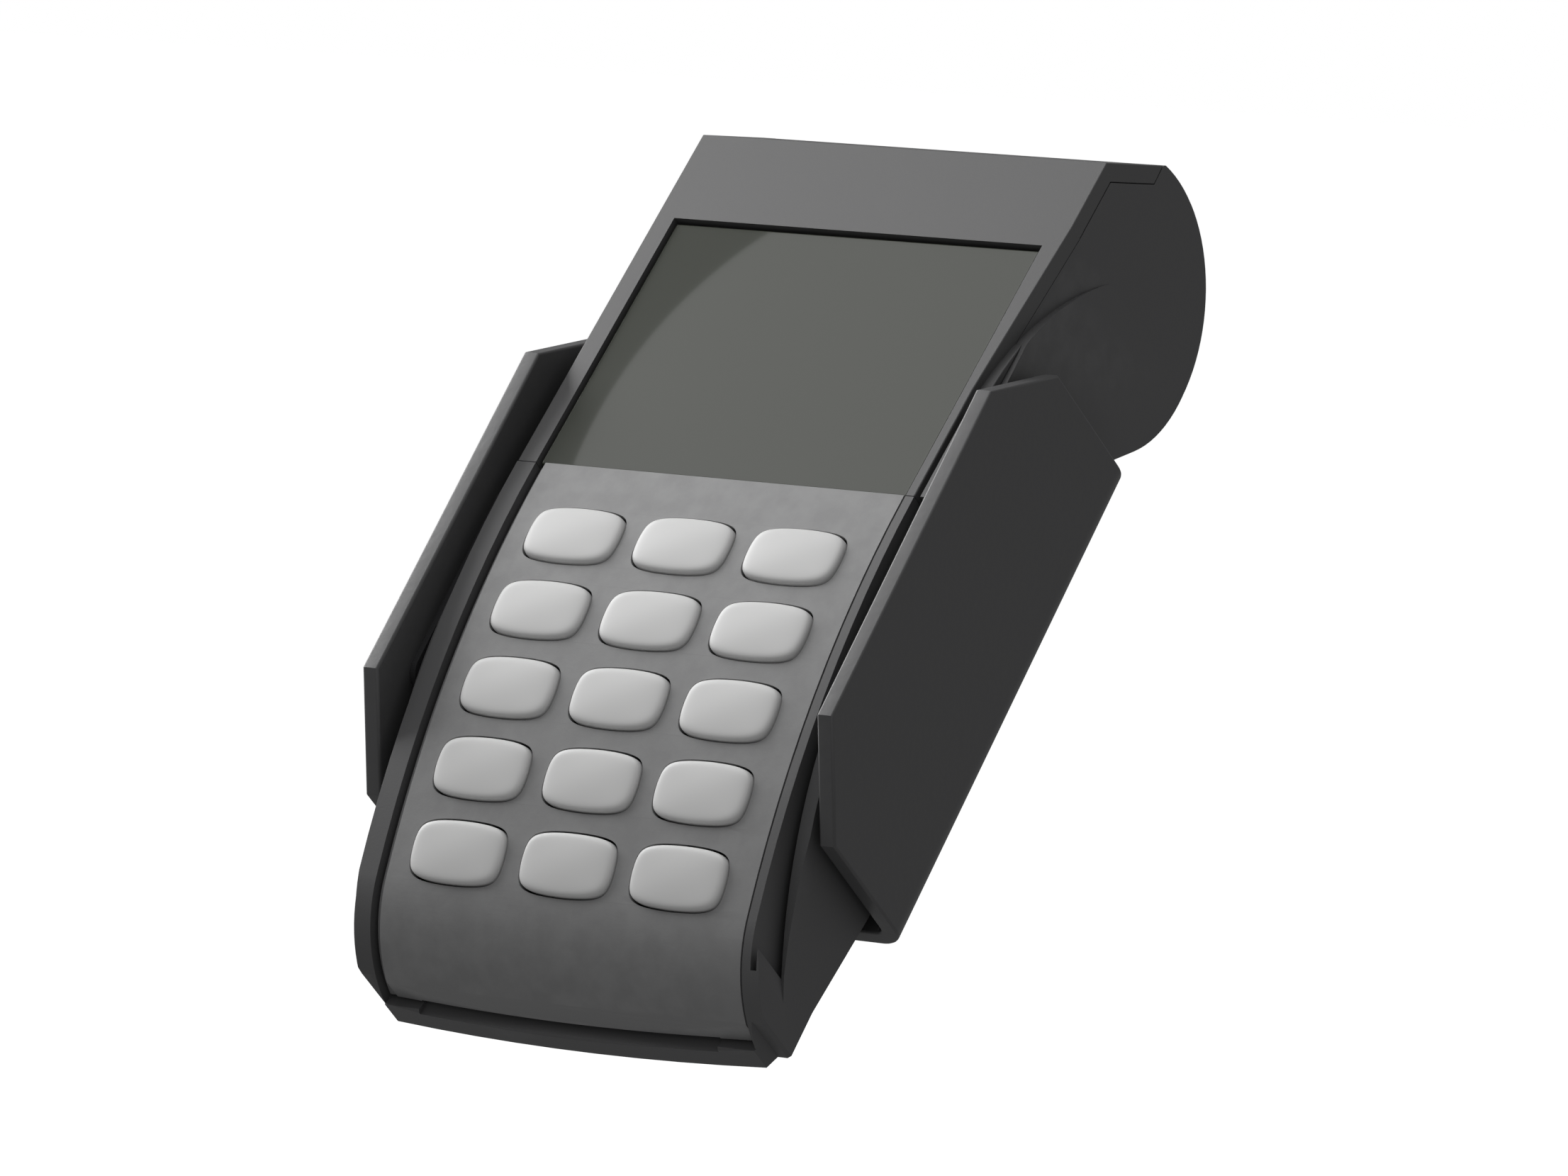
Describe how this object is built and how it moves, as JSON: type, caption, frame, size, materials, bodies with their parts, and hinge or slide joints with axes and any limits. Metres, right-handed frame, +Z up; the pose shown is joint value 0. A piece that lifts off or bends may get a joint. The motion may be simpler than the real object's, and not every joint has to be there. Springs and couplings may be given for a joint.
{
  "type": "card payment terminal",
  "caption": "Countertop card terminal with a window display, domed keys, swipe and chip slots and a hinged printer lid, leaning back in a bent steel cradle.",
  "frame": {"origin": "centre of the four mounting holes, on the rear face of the cradle's back plate", "axes": "+Z up with the cradle leaning back 41 degrees, +X to the right of a user, the keypad faces -Y and up"},
  "size_m": [0.0896, 0.1179, 0.1353],
  "materials": {
    "cradle_steel": "black powder coat, satin, fine texture",
    "foam_pad": "matt closed-cell foam",
    "case_dark": "fine spark texture, dark grey",
    "case_front": "fine spark texture, mid grey",
    "keypad_grey": "satin mid grey",
    "key_light": "satin light grey, softly domed",
    "window_clear": "clear with a faint green-grey tint",
    "lcd_glass": "green-grey reflective panel",
    "silicone": "matt silicone",
    "board_green": "solder mask",
    "chip_black": "moulded black",
    "nickel": "bright nickel",
    "steel": "bright zinc plate",
    "gold_contact": "gold plated",
    "port_black": "moulded black",
    "brass_gear": "machined",
    "nylon": "natural nylon",
    "platen_black": "ground rubber",
    "paper_white": "thermal paper",
    "card_brown": "wound board",
    "foot_rubber": "matt rubber"
  },
  "bodies": {
    "cradle": {"cradle": "cradle_steel", "side_pad_left": "foam_pad", "side_pad_right": "foam_pad", "back_pad": "foam_pad"},
    "terminal": {"rear_housing": "case_dark", "front_cover": "case_front", "keypad_plate": "keypad_grey", "display_window": "window_clear", "lcd_module": "lcd_glass", "key_mat": "silicone", "keypad_board": "board_green", "main_board": "board_green", "board_parts": "chip_black", "coin_cell": "nickel", "buzzer": "chip_black", "card_reader": "chip_black", "card_contacts": "gold_contact", "magnetic_head": "steel", "power_port": "port_black", "line_port": "port_black", "printer_frame": "steel", "print_head": "steel", "head_springs": "steel", "print_motor": "steel", "idler_pin": "steel", "platen_bushes": "nylon", "lid_pin": "steel", "service_door": "case_dark", "door_screw": "steel", "housing_screws": "steel", "rubber_feet": "foot_rubber"},
    "lid": {"printer_lid": "case_dark", "tear_bar": "steel"},
    "motor_pinion": {"motor_pinion": "brass_gear"},
    "idler_gear": {"idler_gear": "nylon"},
    "platen": {"platen_shaft": "steel", "platen_rubber": "platen_black"},
    "paper": {"paper_roll": "paper_white", "paper_core": "card_brown"},
    "key_1": {"key_1": "key_light"},
    "key_2": {"key_2": "key_light"},
    "key_3": {"key_3": "key_light"},
    "key_4": {"key_4": "key_light"},
    "key_5": {"key_5": "key_light"},
    "key_6": {"key_6": "key_light"},
    "key_7": {"key_7": "key_light"},
    "key_8": {"key_8": "key_light"},
    "key_9": {"key_9": "key_light"},
    "key_10": {"key_10": "key_light"},
    "key_11": {"key_11": "key_light"},
    "key_12": {"key_12": "key_light"},
    "key_13": {"key_13": "key_light"},
    "key_14": {"key_14": "key_light"},
    "key_15": {"key_15": "key_light"}
  },
  "joints": [
    {"name": "terminal_lift_out", "type": "slide", "parent": "cradle", "child": "terminal", "axis": [0, 0.6561, 0.7547], "range_m": [0, 0.09]},
    {"name": "lid_hinge", "type": "hinge", "parent": "terminal", "child": "lid", "pos_m": [0, 0.04255, 0.04084], "axis": [-1, 0, 0], "range_deg": [0, 95]},
    {"name": "platen_spin", "type": "hinge", "parent": "terminal", "child": "platen", "pos_m": [0, 0.04348, 0.0741], "axis": [1, 0, 0], "continuous": true},
    {"name": "idler_spin", "type": "hinge", "parent": "terminal", "child": "idler_gear", "pos_m": [0, 0.03641, 0.06775], "axis": [1, 0, 0], "continuous": true},
    {"name": "motor_spin", "type": "hinge", "parent": "terminal", "child": "motor_pinion", "pos_m": [0, 0.03041, 0.07446], "axis": [1, 0, 0], "continuous": true},
    {"name": "paper_spin", "type": "hinge", "parent": "terminal", "child": "paper", "pos_m": [0, 0.03208, 0.05398], "axis": [1, 0, 0], "continuous": true},
    {"name": "key_1_press", "type": "slide", "parent": "terminal", "child": "key_1", "axis": [0, 0.766, -0.6428], "range_m": [0, 0.001], "stiffness_N_per_m": 250, "springref_m": -0.0006},
    {"name": "key_2_press", "type": "slide", "parent": "terminal", "child": "key_2", "axis": [0, 0.766, -0.6428], "range_m": [0, 0.001], "stiffness_N_per_m": 250, "springref_m": -0.0006},
    {"name": "key_3_press", "type": "slide", "parent": "terminal", "child": "key_3", "axis": [0, 0.766, -0.6428], "range_m": [0, 0.001], "stiffness_N_per_m": 250, "springref_m": -0.0006},
    {"name": "key_4_press", "type": "slide", "parent": "terminal", "child": "key_4", "axis": [0, 0.813, -0.5823], "range_m": [0, 0.001], "stiffness_N_per_m": 250, "springref_m": -0.0006},
    {"name": "key_5_press", "type": "slide", "parent": "terminal", "child": "key_5", "axis": [0, 0.813, -0.5823], "range_m": [0, 0.001], "stiffness_N_per_m": 250, "springref_m": -0.0006},
    {"name": "key_6_press", "type": "slide", "parent": "terminal", "child": "key_6", "axis": [0, 0.813, -0.5823], "range_m": [0, 0.001], "stiffness_N_per_m": 250, "springref_m": -0.0006},
    {"name": "key_7_press", "type": "slide", "parent": "terminal", "child": "key_7", "axis": [0, 0.8552, -0.5183], "range_m": [0, 0.001], "stiffness_N_per_m": 250, "springref_m": -0.0006},
    {"name": "key_8_press", "type": "slide", "parent": "terminal", "child": "key_8", "axis": [0, 0.8552, -0.5183], "range_m": [0, 0.001], "stiffness_N_per_m": 250, "springref_m": -0.0006},
    {"name": "key_9_press", "type": "slide", "parent": "terminal", "child": "key_9", "axis": [0, 0.8552, -0.5183], "range_m": [0, 0.001], "stiffness_N_per_m": 250, "springref_m": -0.0006},
    {"name": "key_10_press", "type": "slide", "parent": "terminal", "child": "key_10", "axis": [0, 0.8924, -0.4513], "range_m": [0, 0.001], "stiffness_N_per_m": 250, "springref_m": -0.0006},
    {"name": "key_11_press", "type": "slide", "parent": "terminal", "child": "key_11", "axis": [0, 0.8924, -0.4513], "range_m": [0, 0.001], "stiffness_N_per_m": 250, "springref_m": -0.0006},
    {"name": "key_12_press", "type": "slide", "parent": "terminal", "child": "key_12", "axis": [0, 0.8924, -0.4513], "range_m": [0, 0.001], "stiffness_N_per_m": 250, "springref_m": -0.0006},
    {"name": "key_13_press", "type": "slide", "parent": "terminal", "child": "key_13", "axis": [0, 0.9243, -0.3816], "range_m": [0, 0.001], "stiffness_N_per_m": 250, "springref_m": -0.0006},
    {"name": "key_14_press", "type": "slide", "parent": "terminal", "child": "key_14", "axis": [0, 0.9243, -0.3816], "range_m": [0, 0.001], "stiffness_N_per_m": 250, "springref_m": -0.0006},
    {"name": "key_15_press", "type": "slide", "parent": "terminal", "child": "key_15", "axis": [0, 0.9243, -0.3816], "range_m": [0, 0.001], "stiffness_N_per_m": 250, "springref_m": -0.0006}
  ],
  "couplings": [
    {"joint": "idler_spin", "follows": "platen_spin", "ratio": -0.72727},
    {"joint": "motor_spin", "follows": "platen_spin", "ratio": 1.1429}
  ]
}
